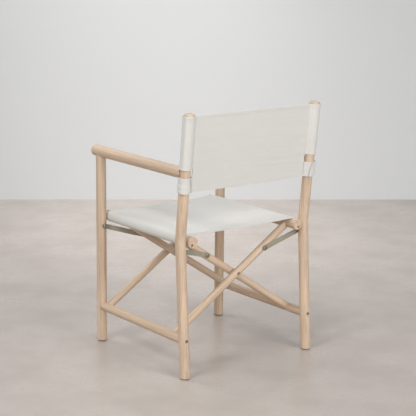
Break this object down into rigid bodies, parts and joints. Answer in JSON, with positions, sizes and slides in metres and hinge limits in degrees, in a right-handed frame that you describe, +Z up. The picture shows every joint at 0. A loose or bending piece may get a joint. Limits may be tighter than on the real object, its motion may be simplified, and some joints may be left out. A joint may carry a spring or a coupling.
{
  "type": "director chair",
  "caption": "Folding director chair with round wooden side frames, crossed bars, metal straps, and a canvas seat and back.",
  "frame": {"origin": "on the floor at the centre of the chair's bounding box", "axes": "+Z up, the sitter faces -Y, +X is the sitter's left"},
  "size_m": [0.549, 0.5484, 0.8513],
  "materials": {
    "wood": "oiled pale ash, satin",
    "canvas": "natural cotton canvas, plain weave",
    "strap_paint": "khaki grey powder coat",
    "bolts": "dark bronze plated steel",
    "brass": "turned brass",
    "glide": "dark nylon",
    "keder": "plain fibreglass rod"
  },
  "bodies": {
    "frame_left": {"front_post_left": "wood", "back_post_left": "wood", "armrest_left": "wood", "arm_dowel_left": "wood", "foot_glides_left": "glide", "rail_pivot_bolts_left": "bolts", "strap_pivot_bolts_left": "bolts", "strap_washers_left": "bolts", "post_inserts_left": "brass", "back_sleeves_left": "canvas", "back_panel": "canvas"},
    "frame_right": {"front_post_right": "wood", "back_post_right": "wood", "armrest_right": "wood", "arm_dowel_right": "wood", "foot_glides_right": "glide", "rail_pivot_bolts_right": "bolts", "strap_pivot_bolts_right": "bolts", "strap_washers_right": "bolts", "post_inserts_right": "brass", "back_sleeves_right": "canvas"},
    "cross_frame_outer": {"lower_rail_left": "wood", "seat_rail_right": "wood", "cross_bar_outer_front": "wood", "cross_bar_outer_rear": "wood", "bar_inserts_outer": "brass", "rail_bushes_left": "brass", "keder_rod_right": "keder", "cross_bolts": "bolts", "cross_spacers": "wood", "cross_nuts": "bolts"},
    "cross_frame_inner": {"lower_rail_right": "wood", "seat_rail_left": "wood", "cross_bar_inner_front": "wood", "cross_bar_inner_rear": "wood", "bar_inserts_inner": "brass", "rail_bushes_right": "brass", "keder_rod_left": "keder", "seat_canvas": "canvas"},
    "straps_left": {"strap_front_left": "strap_paint", "strap_rear_left": "strap_paint", "strap_bar_bolts_left": "bolts"},
    "straps_right": {"strap_front_right": "strap_paint", "strap_rear_right": "strap_paint", "strap_bar_bolts_right": "bolts"}
  },
  "joints": [
    {"name": "fold", "type": "hinge", "parent": "frame_left", "child": "cross_frame_outer", "pos_m": [0.256, 0, 0.125], "axis": [0, 1, 0], "range_deg": [0, 42.49], "deforming": ["seat_canvas", "back_panel"]},
    {"name": "cross_pivot", "type": "hinge", "parent": "cross_frame_outer", "child": "cross_frame_inner", "pos_m": [0, 0, 0.29333], "axis": [0, 1, 0], "range_deg": [-93.36, 0]},
    {"name": "right_rail_pivot", "type": "hinge", "parent": "cross_frame_inner", "child": "frame_right", "pos_m": [-0.256, 0, 0.125], "axis": [0, 1, 0], "range_deg": [0, 42.5]},
    {"name": "strap_pivot_left", "type": "hinge", "parent": "frame_left", "child": "straps_left", "pos_m": [0.256, 0, 0.409], "axis": [0, 1, 0], "range_deg": [0, 83.18]},
    {"name": "strap_pivot_right", "type": "hinge", "parent": "frame_right", "child": "straps_right", "pos_m": [-0.256, 0, 0.409], "axis": [0, 1, 0], "range_deg": [-83.18, 0]}
  ],
  "couplings": [
    {"joint": "cross_pivot", "follows": "fold", "ratio": -2.1967},
    {"joint": "right_rail_pivot", "follows": "fold", "ratio": 1},
    {"joint": "strap_pivot_left", "follows": "fold", "ratio": 1.9572},
    {"joint": "strap_pivot_right", "follows": "fold", "ratio": -1.9572}
  ]
}
